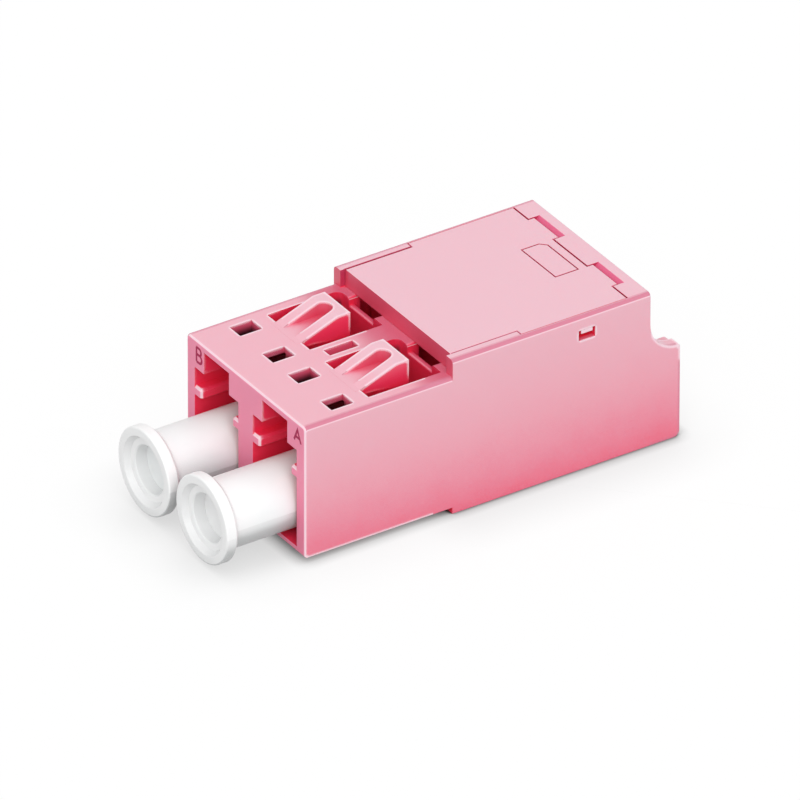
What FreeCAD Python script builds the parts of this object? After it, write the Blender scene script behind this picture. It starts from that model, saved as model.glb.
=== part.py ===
import FreeCAD, Part
import math
import os

import Sketcher

# Duplex fibre optic adapter with dust caps. Millimetres, +Z up, +X to the right
# seen from the capped front, +Y towards the rear. Y = 0 is the plane of the
# shoulder that seats against a panel, Z = 0 is the underside of the rear body.

SIZES = {
    # housing outline, seen from the side
    "body_width": 12.7,
    "nose_length": 10.25,
    "nose_bottom": 0.42,
    "nose_top": 9.3,
    "body_length": 13.8,
    "body_top": 10.48,
    "tail_length": 2.1,
    "tail_height": 6.23,
    "heel_round": 0.4,
    "long_edge_round": 0.27,
    "mouth_round": 0.18,
    # plug ports, the same at both ends
    "port_pitch": 6.25,
    "port_axis": 3.1,
    "port_width": 4.7,
    "port_height": 4.6,
    "rib_height": 0.72,
    "rib_reach": 0.7,
    "rib_lead": 0.22,
    "rib_bevel": 0.14,
    "ear_height": 1.28,
    "arm_slot_width": 2.7,
    "arm_slot_height": 1.48,
    # openings in the top of the nose
    "window_width": 1.17,
    "window_length": 1.52,
    "window_setback": 2.42,
    "window_offset": 1.76,
    "tongue_slot_width": 4.6,
    "tongue_slot_length": 5.04,
    "tongue_slot_corner": 0.5,
    "core_width": 0.7,
    "core_length": 2.0,
    "core_setback": 0.62,
    "core_depth": 0.8,
    # bulkhead under the front edge of the lid
    "bulkhead_front": 0.2,
    "bulkhead_thickness": 0.8,
    "notch_width": 2.6,
    "notch_depth": 0.5,
    "notch_round": 0.2,
    "lip_thickness": 0.4,
    "lip_round": 0.15,
    "access_length": 6.6,
    # sprung panel tongues
    "tongue_width": 2.75,
    "tongue_thickness": 0.42,
    "tongue_toe": 0.8,
    "tongue_flex": 0.9,
    "root_gap": 0.02,
    "panel_gap": 1.84,
    "wedge_height": 0.93,
    "wedge_flat": 0.86,
    "wedge_round": 0.7,
    "recess_width": 1.2,
    "recess_wall": 0.43,
    # lid and its frame
    "narrow_wall": 0.7,
    "wide_wall": 0.3,
    "lid_step": 4.9,
    "lid_rear": 12.42,
    "lid_seam": 0.03,
    "lid_bevel": 0.09,
    "lid_setback": 0.32,
    "lid_clearance": 0.02,
    "tab_width": 2.75,
    "tab_length": 0.42,
    "tab_slope": 0.36,
    "catch_place": 9.36,
    "catch_width": 0.8,
    "catch_reach": 0.9,
    "catch_height": 0.24,
    "catch_nose": 0.14,
    "catch_drop": 0.35,
    "catch_window_width": 1.16,
    "catch_window_height": 0.7,
    "catch_window_top": 9.55,
    "catch_window_depth": 1.0,
    "mark_width": 3.7,
    "mark_length": 1.68,
    "mark_front": 10.1,
    "mark_corner": 0.4,
    "mark_line": 0.09,
    "mark_depth": 0.08,
    # sleeve holders and split sleeves
    "holder_plate": 0.8,
    "holder_groove": 0.25,
    "holder_fit": 0.05,
    "boss_diameter": 2.5,
    "boss_lip": 0.45,
    "lip_bore": 1.4,
    "lip_mouth": 1.9,
    "sleeve_length": 6.8,
    "sleeve_outer": 1.62,
    "sleeve_inner": 1.249,
    "sleeve_slit": 0.25,
    "sleeve_fit": 0.06,
    "sleeve_play": 0.05,
    # dust caps
    "cap_reach": 5.06,
    "cap_insert": 7.5,
    "neck_diameter": 4.34,
    "plug_setback": 3.4,
    "plug_lead": 0.3,
    "plug_root_diameter": 4.48,
    "plug_tip_diameter": 4.36,
    "flange_diameter": 5.56,
    "flange_thickness": 0.85,
    "flange_round": 0.1,
    "flange_bevel": 0.2,
    "dish_diameter": 4.46,
    "dish_depth": 0.38,
    "dish_slope": 0.25,
    "eye_diameter": 3.08,
    "eye_bevel": 0.07,
    "eye_depth": 1.22,
    "cap_web": 1.0,
    "hollow_diameter": 3.0,
}

SHEET = "Sizes"
SIDES = {"a": 1, "b": -1}
# A sketch numbers the points of an edge in this order.
START, END, CENTRE = range(1, 4)
# A turned round edge is made of this many flat cones.
RIM_STEPS = 3
# Two places this close, in millimetres, are the same.
TOUCH = 1e-6
# A 45 degree corner cut loses this much of its leg for each unit that its outline is inset.
CORNER_LOSS = 2 - math.sqrt(2)


class Size:
    """A length that knows its number and the sheet formula behind it."""

    def __init__(self, number, formula):
        self.number = number
        self.formula = formula

    def combine(self, other, number, sign):
        return Size(number, f"({self.formula} {sign} {other.formula})")

    def __add__(self, other):
        other = as_size(other)
        return self.combine(other, self.number + other.number, "+")

    def __sub__(self, other):
        other = as_size(other)
        return self.combine(other, self.number - other.number, "-")

    def __mul__(self, other):
        other = as_size(other)
        return self.combine(other, self.number * other.number, "*")

    def __truediv__(self, other):
        other = as_size(other)
        return self.combine(other, self.number / other.number, "/")

    def __neg__(self):
        return self * -1


def as_size(value):
    return value if isinstance(value, Size) else Size(value, str(value))


class Sheet:
    """The spreadsheet of driving dimensions, read as named sizes."""

    def __init__(self, doc):
        cells = doc.addObject("Spreadsheet::Sheet", SHEET)
        for row, (name, number) in enumerate(SIZES.items(), start=1):
            cells.set(f"A{row}", name)
            cells.set(f"B{row}", str(number))
            cells.setAlias(f"B{row}", name)
            setattr(self, name, Size(number, f"{SHEET}.{name}"))

    def derive(self):
        """Places that follow from the driving dimensions."""
        self.half_width = self.body_width / 2
        self.rear_end = self.body_length + self.tail_length
        self.middle = (self.rear_end - self.nose_length) / 2
        self.port_floor = self.port_axis - self.port_height / 2
        self.port_top = self.port_axis + self.port_height / 2
        self.rib_top = self.port_top + self.rib_height
        self.ear_top = self.rib_top + self.ear_height
        self.arm_top = self.ear_top + self.arm_slot_height
        self.ports_half_width = self.port_pitch / 2 + self.port_width / 2
        self.tongue_front = -(self.bulkhead_front + self.tongue_slot_length)
        self.tongue_root = self.tongue_front + self.root_gap
        self.bulkhead_rear = self.bulkhead_thickness - self.bulkhead_front
        self.access_rear = self.bulkhead_rear + self.access_length
        self.wedge_top = self.nose_top + self.wedge_height

    def port_centre(self, side):
        return self.port_pitch / 2 * SIDES[side]


def bind(obj, prop, size):
    size = as_size(size)
    obj.setExpression(prop, size.formula)


def new_body(doc, label, x=0, y=0, z=0):
    body = doc.addObject("PartDesign::Body", label)
    body.Label = label
    for axis, size in zip("xyz", (x, y, z)):
        bind(body, f"Placement.Base.{axis}", size)
    return body


def attach(obj, body, role, x=0, y=0, lift=0):
    """Lays an object on one of the body's own origin planes, lifted along its normal."""
    plane = next(f for f in body.Origin.OriginFeatures if f.Role == role)
    obj.AttachmentSupport = [(plane, "")]
    obj.MapMode = "FlatFace"
    for axis, size in zip("xyz", (x, y, lift)):
        bind(obj, f"AttachmentOffset.Base.{axis}", size)


def new_sketch(body, name, role, lift=0):
    sketch = body.newObject("Sketcher::SketchObject", name)
    attach(sketch, body, role, lift=lift)
    return sketch


def constrain(sketch, kind, geometry, size, point=None):
    """Adds a dimension to the sketch and binds it to the sheet."""
    where = (geometry,) if point is None else (geometry, point)
    index = sketch.addConstraint(Sketcher.Constraint(kind, *where, as_size(size).number))
    bind(sketch, f"Constraints[{index}]", size)


def vector(point):
    return FreeCAD.Vector(as_size(point[0]).number, as_size(point[1]).number, 0)


def arc_about(centre, start, end):
    """The quarter or half circle from start to end that turns clockwise about centre."""
    radius = start - centre
    circle = Part.Circle(centre, FreeCAD.Vector(0, 0, 1), radius.Length)
    return Part.ArcOfCircle(circle, circle.parameter(end), circle.parameter(start))


def outline(sketch, corners, arcs=None):
    """A closed outline with every corner dimensioned from the sketch origin.

    arcs maps a corner's number to the centre of the clockwise arc that leaves it.
    """
    arcs = arcs or {}
    first = sketch.GeometryCount
    count = len(corners)
    ends = []
    for i, corner in enumerate(corners):
        start, end = vector(corner), vector(corners[(i + 1) % count])
        if i in arcs:
            sketch.addGeometry(arc_about(vector(arcs[i]), start, end), False)
            ends.append((END, START))
        else:
            sketch.addGeometry(Part.LineSegment(start, end), False)
            ends.append((START, END))
    for i in range(count):
        after = (i + 1) % count
        sketch.addConstraint(
            Sketcher.Constraint("Coincident", first + i, ends[i][1], first + after, ends[after][0])
        )
    for i, corner in enumerate(corners):
        constrain(sketch, "DistanceX", first + i, corner[0], ends[i][0])
        constrain(sketch, "DistanceY", first + i, corner[1], ends[i][0])
    for i, centre in arcs.items():
        constrain(sketch, "DistanceY", first + i, centre[1], CENTRE)


def rectangle(sketch, low, high):
    outline(sketch, [low, (high[0], low[1]), high, (low[0], high[1])])


def circle(sketch, centre, diameter):
    radius = as_size(diameter).number / 2
    index = sketch.addGeometry(Part.Circle(vector(centre), FreeCAD.Vector(0, 0, 1), radius), False)
    constrain(sketch, "DistanceX", index, centre[0], CENTRE)
    constrain(sketch, "DistanceY", index, centre[1], CENTRE)
    constrain(sketch, "Diameter", index, diameter)


def extrude(body, kind, sketch, length, side_type="One side", reverse=False):
    feature = body.newObject(f"PartDesign::{kind}", f"{sketch.Name}_{kind.lower()}")
    feature.Profile = sketch
    feature.SideType = side_type
    feature.Reversed = reverse
    bind(feature, "Length", length)
    return feature


def pad(body, sketch, length, **options):
    return extrude(body, "Pad", sketch, length, **options)


def pocket(body, sketch, length, **options):
    """Cuts the sketch into the body and makes sure that it removed something."""
    body.Document.recompute()
    before = body.Shape.Volume
    feature = extrude(body, "Pocket", sketch, length, **options)
    body.Document.recompute()
    if not feature.Shape.Volume < before:
        raise RuntimeError(f"{sketch.Name} cuts nothing")
    return feature


def dress_edges(body, feature, name, kind, wanted):
    """A fillet or chamfer on the edges of a feature whose bounding box passes the test."""
    body.Document.recompute()
    names = [f"Edge{i}" for i, edge in enumerate(feature.Shape.Edges, start=1) if wanted(edge.BoundBox)]
    if not names:
        raise RuntimeError(f"{name} finds no edge")
    dressing = body.newObject(f"PartDesign::{kind}", name)
    dressing.Base = (feature, names)
    return dressing


def round_edges(body, feature, name, radius, wanted):
    fillet = dress_edges(body, feature, name, "Fillet", wanted)
    bind(fillet, "Radius", radius)
    return fillet


def bevel_edges(body, feature, name, size, wanted):
    chamfer = dress_edges(body, feature, name, "Chamfer", wanted)
    bind(chamfer, "Size", size)
    return chamfer


def near(value, size):
    return abs(value - size.number) < TOUCH


def flat(low, high):
    return high - low < TOUCH


def latch_outline(s, centre):
    """The part of a plug port above its square socket: rib gap, ear slot and arm slot."""
    steps = [
        (s.port_width / 2 - s.rib_reach, s.port_axis),
        (s.port_width / 2 - s.rib_reach, s.rib_top),
        (s.port_width / 2, s.rib_top),
        (s.port_width / 2, s.ear_top),
        (s.arm_slot_width / 2, s.ear_top),
        (s.arm_slot_width / 2, s.arm_top),
    ]
    right = [(centre + across, height) for across, height in steps]
    left = [(centre - across, height) for across, height in reversed(steps)]
    return right + left


def housing_block(body, s):
    """The moulded outside: nose, stepped shoulder, tall rear body and cut-down tail."""
    side = new_sketch(body, "side_profile", "YZ_Plane")
    arc_top = s.tail_height + s.tail_length
    corners = [
        (-s.nose_length, s.nose_bottom),
        (0, s.nose_bottom),
        (0, 0),
        (s.rear_end, 0),
        (s.rear_end, s.tail_height),
        (s.body_length, arc_top),
        (s.body_length, s.body_top),
        (0, s.body_top),
        (0, s.nose_top),
        (-s.nose_length, s.nose_top),
    ]
    outline(side, corners, {4: (s.rear_end, arc_top)})
    block = pad(body, side, s.body_width, side_type="Symmetric")

    def long_top_edge(box):
        top = near(box.ZMin, s.nose_top) or near(box.ZMin, s.body_top)
        return top and flat(box.XMin, box.XMax) and flat(box.ZMin, box.ZMax)

    def heel_edge(box):
        return near(box.YMin, s.rear_end) and flat(box.YMin, box.YMax) and near(box.ZMax, as_size(0))

    def mouth_edge(box):
        return near(box.YMax, -s.nose_length)

    block = round_edges(body, block, "long_edges", s.long_edge_round, long_top_edge)
    block = round_edges(body, block, "heel", s.heel_round, heel_edge)
    round_edges(body, block, "mouth_rim", s.mouth_round, mouth_edge)


def housing_ports(body, s):
    """Square sockets right through, and the latch outline cut in from both ends."""
    sockets = new_sketch(body, "sockets", "XZ_Plane", s.nose_length)
    for side in SIDES:
        centre = s.port_centre(side)
        low = (centre - s.port_width / 2, s.port_floor)
        high = (centre + s.port_width / 2, s.port_top)
        rectangle(sockets, low, high)
    pocket(body, sockets, s.nose_length + s.rear_end)
    front = new_sketch(body, "front_latches", "XZ_Plane", s.nose_length)
    rear = new_sketch(body, "rear_latches", "XZ_Plane", -s.rear_end)
    for side in SIDES:
        outline(front, latch_outline(s, s.port_centre(side)))
        outline(rear, latch_outline(s, s.port_centre(side)))
    pocket(body, front, s.nose_length - s.bulkhead_front)
    cut = pocket(body, rear, s.rear_end - s.access_rear, reverse=True)
    soften_ribs(body, cut, s)


def soften_ribs(body, cut, s):
    """Rounds the ends of the ribs beside each port and bevels their long edges."""
    reach = s.port_width / 2 - s.rib_reach
    faces = [s.port_centre(side) + reach * hand for side in SIDES for hand in (1, -1)]
    levels = (s.port_top, s.rib_top)

    def end_edge(box):
        tall = near(box.ZMin, s.port_top) and near(box.ZMax, s.rib_top)
        outer = near(box.YMax, -s.nose_length) or near(box.YMin, s.rear_end)
        return tall and outer and flat(box.XMin, box.XMax)

    def long_edge(box):
        level = any(near(box.ZMin, z) and near(box.ZMax, z) for z in levels)
        at_face = any(near(box.XMin, x) and near(box.XMax, x) for x in faces)
        return level and at_face

    led = round_edges(body, cut, "rib_ends", s.rib_lead, end_edge)
    bevel_edges(body, led, "rib_edges", s.rib_bevel, long_edge)


def housing_nose_openings(body, s):
    """Windows, tongue slots and the core-out in the top of the nose."""
    depth = s.nose_top - s.ear_top
    windows = new_sketch(body, "windows", "XY_Plane", s.nose_top)
    front = s.window_setback - s.nose_length
    for side in SIDES:
        for hand in (1, -1):
            middle = s.port_centre(side) + s.window_offset * hand
            low = (middle - s.window_width / 2, front)
            high = (middle + s.window_width / 2, front + s.window_length)
            rectangle(windows, low, high)
    pocket(body, windows, depth)

    slots = new_sketch(body, "tongue_slots", "XY_Plane", s.nose_top)
    rear = -s.bulkhead_front
    for side in SIDES:
        left = s.port_centre(side) - s.tongue_slot_width / 2
        right = s.port_centre(side) + s.tongue_slot_width / 2
        turn = (left + s.tongue_slot_corner, rear - s.tongue_slot_corner)
        corners = [
            (left, s.tongue_front),
            (left, turn[1]),
            (turn[0], rear),
            (right, rear),
            (right, s.tongue_front),
        ]
        outline(slots, corners, {1: turn})
    pocket(body, slots, depth)

    core = new_sketch(body, "core_out", "XY_Plane", s.nose_top)
    core_front = s.tongue_front + s.core_setback
    rectangle(core, (-s.core_width / 2, core_front), (s.core_width / 2, core_front + s.core_length))
    pocket(body, core, s.core_depth)


def lid_outline(s, inset):
    """Plan of the lid or, with no inset, of the recess that takes it."""
    gap = s.lid_seam * inset
    narrow = s.half_width - s.narrow_wall - gap
    wide = s.half_width - s.wide_wall - gap
    front = s.lid_setback * inset - s.bulkhead_front * (1 - inset)
    step = s.lid_step + gap
    rear = s.lid_rear - gap
    tab_end = s.lid_rear + s.tab_length - gap
    half_tab = s.tab_width / 2 - gap
    corners = [(-narrow, front), (narrow, front), (narrow, step), (wide, step), (wide, rear)]
    for side in SIDES:
        centre = s.port_centre(side)
        corners += [
            (centre + half_tab, rear),
            (centre + half_tab, tab_end),
            (centre - half_tab, tab_end),
            (centre - half_tab, rear),
        ]
    return corners + [(-wide, rear), (-wide, step), (-narrow, step)]


def housing_chamber(body, s):
    """The chamber under the lid, the grooves for the sleeve holders and the notched bulkhead."""
    recess = new_sketch(body, "lid_recess", "XY_Plane", s.body_top)
    outline(recess, lid_outline(s, 0))
    pocket(body, recess, s.body_top - s.nose_top)
    for side in SIDES:
        slope = new_sketch(body, f"tab_slope_{side}", "YZ_Plane", s.port_centre(side))
        foot = s.lid_rear + s.tab_length
        low = s.body_top - s.tab_slope
        outline(slope, [(foot, low), (foot + s.tab_slope, s.body_top), (foot, s.body_top)])
        pocket(body, slope, s.tab_width, side_type="Symmetric")

    access = new_sketch(body, "access", "XY_Plane", s.nose_top)
    rectangle(access, (-s.ports_half_width, s.bulkhead_rear), (s.ports_half_width, s.access_rear))
    pocket(body, access, s.nose_top - s.port_top)

    groove = new_sketch(body, "holder_groove", "XY_Plane", s.nose_top)
    reach = s.ports_half_width + s.holder_groove
    half = s.holder_plate + s.holder_fit
    rectangle(groove, (-reach, s.middle - half), (reach, s.middle + half))
    pocket(body, groove, s.nose_top - s.port_floor)

    notches = new_sketch(body, "bulkhead_notches", "XY_Plane", s.nose_top)
    for side in SIDES:
        centre = s.port_centre(side)
        low = (centre - s.notch_width / 2, -s.bulkhead_front - s.notch_depth)
        high = (centre + s.notch_width / 2, s.bulkhead_rear + s.notch_depth)
        rectangle(notches, low, high)
    pocket(body, notches, s.notch_depth)
    wells = new_sketch(body, "bulkhead_wells", "XY_Plane", s.nose_top)
    for side in SIDES:
        centre = s.port_centre(side)
        low = (centre - s.notch_width / 2, s.lip_thickness - s.bulkhead_front)
        high = (centre + s.notch_width / 2, s.bulkhead_rear + s.notch_depth)
        rectangle(wells, low, high)
    cut = pocket(body, wells, s.nose_top - s.port_top)
    soften_notches(body, cut, s)


def soften_notches(body, cut, s):
    """Rounds the lip at the foot of each notch and the notch's upper corners."""
    half = s.notch_width / 2
    ends = [s.port_centre(side) + half * hand for side in SIDES for hand in (1, -1)]
    lip_top = s.nose_top - s.notch_depth
    lip_sides = (-s.bulkhead_front, s.lip_thickness - s.bulkhead_front)

    def lip_edge(box):
        level = near(box.ZMin, lip_top) and near(box.ZMax, lip_top)
        return level and any(near(box.YMin, y) and near(box.YMax, y) for y in lip_sides)

    def corner(box):
        level = near(box.ZMin, s.nose_top) and near(box.ZMax, s.nose_top)
        return level and any(near(box.XMin, x) and near(box.XMax, x) for x in ends)

    lipped = round_edges(body, cut, "lip_edges", s.lip_round, lip_edge)
    round_edges(body, lipped, "notch_corners", s.notch_round, corner)


def housing_catch_windows(body, s):
    """One window in each side wall, where the lid's catch snaps in."""
    for side, sign in SIDES.items():
        window = new_sketch(body, f"catch_window_{side}", "YZ_Plane", s.half_width * sign)
        low = (s.catch_place - s.catch_window_width / 2, s.catch_window_top - s.catch_window_height)
        high = (s.catch_place + s.catch_window_width / 2, s.catch_window_top)
        rectangle(window, low, high)
        pocket(body, window, s.catch_window_depth, reverse=sign < 0)


def make_housing(doc, s):
    body = new_body(doc, "housing")
    housing_block(body, s)
    housing_ports(body, s)
    housing_nose_openings(body, s)
    housing_chamber(body, s)
    housing_catch_windows(body, s)
    return body


def mark_outline(s, inset):
    """Plan of the insert mark in the lid's top: a rectangle with one cut corner."""
    line = s.mark_line * inset
    cut = s.mark_corner - line * CORNER_LOSS
    left = -s.mark_width / 2 + line
    right = s.mark_width / 2 - line
    front = s.mark_front + line
    rear = s.mark_front + s.mark_length - line
    return [(left, front), (right, front), (right, rear), (left + cut, rear), (left, rear - cut)]


def make_lid(doc, s):
    """The plate that closes the chamber, with a snap catch on each side."""
    body = new_body(doc, "lid")
    seat = s.nose_top + s.lid_clearance
    plan = new_sketch(body, "lid_plan", "XY_Plane", seat)
    outline(plan, lid_outline(s, 1))
    plate = pad(body, plan, s.body_top - seat)
    wide = s.half_width - s.wide_wall - s.lid_seam

    def seam_edge(box):
        level = near(box.ZMin, s.body_top) and near(box.ZMax, s.body_top)
        at_front = near(box.YMax, s.lid_setback)
        at_side = near(box.XMin, wide) or near(box.XMax, -wide)
        return level and not at_front and not at_side

    bevel_edges(body, plate, "seam_bevel", s.lid_bevel, seam_edge)

    outside = s.half_width - s.lid_clearance
    inside = outside - s.catch_reach
    top = s.catch_window_top - s.lid_seam / 2
    low = top - s.catch_height
    for side, sign in SIDES.items():
        catch = new_sketch(body, f"catch_{side}", "XZ_Plane", -(s.catch_place - s.catch_width / 2))
        tip = low - s.catch_drop
        corners = [
            (inside * sign, tip),
            ((inside + s.catch_nose) * sign, tip),
            (outside * sign, low),
            (outside * sign, top),
            (inside * sign, top),
        ]
        outline(catch, corners)
        pad(body, catch, s.catch_width, reverse=True)

    mark = new_sketch(body, "insert_mark", "XY_Plane", s.body_top)
    outline(mark, mark_outline(s, 0))
    outline(mark, mark_outline(s, 1))
    pocket(body, mark, s.mark_depth)
    return body


def make_tongue(doc, s, side):
    """A sprung tongue in the nose top: a ramp with a U-shaped recess, which holds the panel."""
    body = new_body(doc, f"panel_latch_{side}", x=s.port_centre(side))
    profile = new_sketch(body, f"tongue_profile_{side}", "YZ_Plane")
    tip = -s.panel_gap
    underside = s.nose_top - s.tongue_thickness
    corners = [
        (s.tongue_root, underside),
        (s.tongue_root + s.tongue_flex, underside),
        (tip, s.nose_top - s.tongue_toe),
        (tip, s.wedge_top),
        (tip - s.wedge_flat, s.wedge_top),
        (s.tongue_root, s.nose_top),
    ]
    outline(profile, corners)
    blank = pad(body, profile, s.tongue_width, side_type="Symmetric")

    def knee(box):
        across = near(box.YMin, tip - s.wedge_flat) and near(box.YMax, tip - s.wedge_flat)
        return across and near(box.ZMax, s.wedge_top)

    round_edges(body, blank, f"knee_{side}", s.wedge_round, knee)

    recess = new_sketch(body, f"recess_{side}", "XY_Plane", s.wedge_top)
    half = s.recess_width / 2
    turn = tip - s.recess_wall - half
    front = s.tongue_root - s.recess_width
    corners = [(-half, front), (-half, turn), (half, turn), (half, front)]
    outline(recess, corners, {1: (0, turn)})
    pocket(body, recess, s.wedge_height)
    return body


def make_holder(doc, s, name, rearward):
    """Half of the sleeve carrier: a plate in the housing's groove with two hollow bosses."""
    body = new_body(doc, name, y=s.middle)
    reach = s.ports_half_width + s.holder_groove - s.holder_fit
    plate = new_sketch(body, f"{name}_plate", "XZ_Plane")
    rectangle(plate, (-reach, s.port_floor + s.holder_fit), (reach, s.nose_top - s.holder_fit))
    pad(body, plate, s.holder_plate, reverse=rearward)
    seat_depth = s.sleeve_length / 2 + s.sleeve_play
    length = seat_depth + s.boss_lip
    bosses = new_sketch(body, f"{name}_bosses", "XZ_Plane")
    seats = new_sketch(body, f"{name}_seats", "XZ_Plane")
    for side in SIDES:
        centre = (s.port_centre(side), s.port_axis)
        circle(bosses, centre, s.boss_diameter)
        circle(seats, centre, s.sleeve_outer + s.sleeve_fit * 2)
    pad(body, bosses, length, reverse=rearward)
    pocket(body, seats, seat_depth, reverse=not rearward)
    for side in SIDES:
        mouth = body.newObject("PartDesign::SubtractiveCone", f"{name}_mouth_{side}")
        base = -length if rearward else seat_depth
        attach(mouth, body, "XZ_Plane", s.port_centre(side), s.port_axis, base)
        bind(mouth, "Radius1", (s.lip_mouth if rearward else s.lip_bore) / 2)
        bind(mouth, "Radius2", (s.lip_bore if rearward else s.lip_mouth) / 2)
        bind(mouth, "Height", s.boss_lip)
    return body


def make_sleeve(doc, s, side):
    """A ceramic alignment sleeve, slit along its top."""
    body = new_body(doc, f"split_sleeve_{side}", x=s.port_centre(side), y=s.middle, z=s.port_axis)
    ring = new_sketch(body, f"ring_{side}", "XZ_Plane")
    circle(ring, (0, 0), s.sleeve_outer)
    circle(ring, (0, 0), s.sleeve_inner)
    pad(body, ring, s.sleeve_length, side_type="Symmetric")
    slit = new_sketch(body, f"slit_{side}", "XZ_Plane")
    rectangle(slit, (-s.sleeve_slit / 2, 0), (s.sleeve_slit / 2, s.sleeve_outer))
    pocket(body, slit, s.sleeve_length, side_type="Symmetric")
    return body


def rim_corners(s, front):
    """Corners of the flange's round front rim, from its face out to its edge."""
    radius = s.flange_diameter / 2 - s.flange_round
    corners = [(radius, front)]
    for step in range(1, RIM_STEPS):
        turn = math.pi / 2 * step / RIM_STEPS
        out, back = s.flange_round * math.sin(turn), s.flange_round * (1 - math.cos(turn))
        corners.append((radius + out, front + back))
    return corners + [(s.flange_diameter / 2, front + s.flange_round)]


def make_cap(doc, s, side):
    """A turned dust cap: hollow plug, slimmer neck and dished flange. Its Y = 0 is the port's mouth."""
    body = new_body(doc, f"dust_cap_{side}", x=s.port_centre(side), y=-s.nose_length, z=s.port_axis)
    half = new_sketch(body, f"cap_profile_{side}", "XY_Plane")
    front = -s.cap_reach
    dish = front + s.dish_depth
    eye_floor = front + s.eye_depth
    web_rear = eye_floor + s.cap_web
    neck = front + s.flange_thickness
    corners = [
        (0, eye_floor),
        (s.eye_diameter / 2, eye_floor),
        (s.eye_diameter / 2, dish + s.eye_bevel),
        (s.eye_diameter / 2 + s.eye_bevel, dish),
        (s.dish_diameter / 2 - s.dish_slope, dish),
        (s.dish_diameter / 2, front),
        *rim_corners(s, front),
        (s.flange_diameter / 2, neck - s.flange_bevel),
        (s.flange_diameter / 2 - s.flange_bevel, neck),
        (s.neck_diameter / 2, neck),
        (s.neck_diameter / 2, s.plug_setback),
        (s.plug_root_diameter / 2, s.plug_setback + s.plug_lead),
        (s.plug_tip_diameter / 2, s.cap_insert),
        (s.hollow_diameter / 2, s.cap_insert),
        (s.hollow_diameter / 2, web_rear),
        (0, web_rear),
    ]
    outline(half, corners)
    turned = body.newObject("PartDesign::Revolution", f"turned_{side}")
    turned.Profile = half
    turned.ReferenceAxis = (half, ["V_Axis"])
    turned.Angle = 360
    return body


def check(doc, bodies):
    """Stops if any object failed or any piece is not one valid solid."""
    for obj in doc.Objects:
        if "Invalid" in obj.State or "Error" in obj.State:
            raise RuntimeError(f"{obj.Name} failed: {obj.State}")
    for body in bodies:
        shape = body.Shape
        if shape.isNull() or not shape.isValid() or len(shape.Solids) != 1:
            raise RuntimeError(f"{body.Label} is not one valid solid")


def main():
    doc = FreeCAD.newDocument("adapter")
    sizes = Sheet(doc)
    sizes.derive()
    doc.recompute()
    bodies = [
        make_housing(doc, sizes),
        make_lid(doc, sizes),
        make_holder(doc, sizes, "sleeve_holder_front", False),
        make_holder(doc, sizes, "sleeve_holder_rear", True),
    ]
    for side in SIDES:
        bodies.append(make_tongue(doc, sizes, side))
        bodies.append(make_sleeve(doc, sizes, side))
        bodies.append(make_cap(doc, sizes, side))
    doc.recompute()
    check(doc, bodies)
    os.makedirs("parts", exist_ok=True)
    for body in bodies:
        body.Shape.exportStep(f"parts/{body.Label}.step")
        box = body.Shape.BoundBox
        print(
            f"{body.Label}: volume {body.Shape.Volume:.2f}, "
            f"x {box.XMin:.2f} to {box.XMax:.2f}, y {box.YMin:.2f} to {box.YMax:.2f}, "
            f"z {box.ZMin:.2f} to {box.ZMax:.2f}"
        )


main()
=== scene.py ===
"""Looks of a duplex adapter: satin pink mouldings, white dust caps, ceramic sleeves and a white studio."""
import math

import bmesh
import bpy
from bpy.props import FloatProperty, FloatVectorProperty, IntProperty, PointerProperty
from mathutils import Matrix, Vector


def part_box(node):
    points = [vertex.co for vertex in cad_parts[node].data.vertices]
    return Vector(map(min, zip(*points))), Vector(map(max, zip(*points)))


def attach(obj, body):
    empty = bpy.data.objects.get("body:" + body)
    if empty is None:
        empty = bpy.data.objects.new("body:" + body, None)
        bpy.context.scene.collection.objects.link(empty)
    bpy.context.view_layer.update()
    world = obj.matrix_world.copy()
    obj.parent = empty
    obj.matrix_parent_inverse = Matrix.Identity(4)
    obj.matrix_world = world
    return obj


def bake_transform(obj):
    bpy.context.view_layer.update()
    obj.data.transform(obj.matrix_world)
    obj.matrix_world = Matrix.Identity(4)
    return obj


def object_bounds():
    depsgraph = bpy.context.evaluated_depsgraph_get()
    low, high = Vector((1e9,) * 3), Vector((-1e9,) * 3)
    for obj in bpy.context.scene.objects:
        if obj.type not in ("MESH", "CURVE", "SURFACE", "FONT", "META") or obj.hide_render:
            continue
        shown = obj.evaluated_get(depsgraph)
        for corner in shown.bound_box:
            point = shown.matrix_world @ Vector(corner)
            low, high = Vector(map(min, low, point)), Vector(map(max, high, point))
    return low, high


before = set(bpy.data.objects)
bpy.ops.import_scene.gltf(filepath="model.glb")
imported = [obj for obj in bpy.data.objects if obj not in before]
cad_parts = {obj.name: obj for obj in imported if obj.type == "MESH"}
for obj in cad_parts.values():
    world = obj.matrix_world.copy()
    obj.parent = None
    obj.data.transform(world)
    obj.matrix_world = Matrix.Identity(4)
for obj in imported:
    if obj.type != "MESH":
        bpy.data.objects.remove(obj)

bl_info = {
    "name": "Duplex Adapter Looks",
    "version": (1, 0, 0),
    "blender": (4, 5, 0),
    "location": "View3D > Sidebar > Adapter",
    "description": "Dresses the duplex adapter and sets it in a white studio",
    "category": "Object",
}

MM = 0.001
CAD_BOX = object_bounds()

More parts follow.
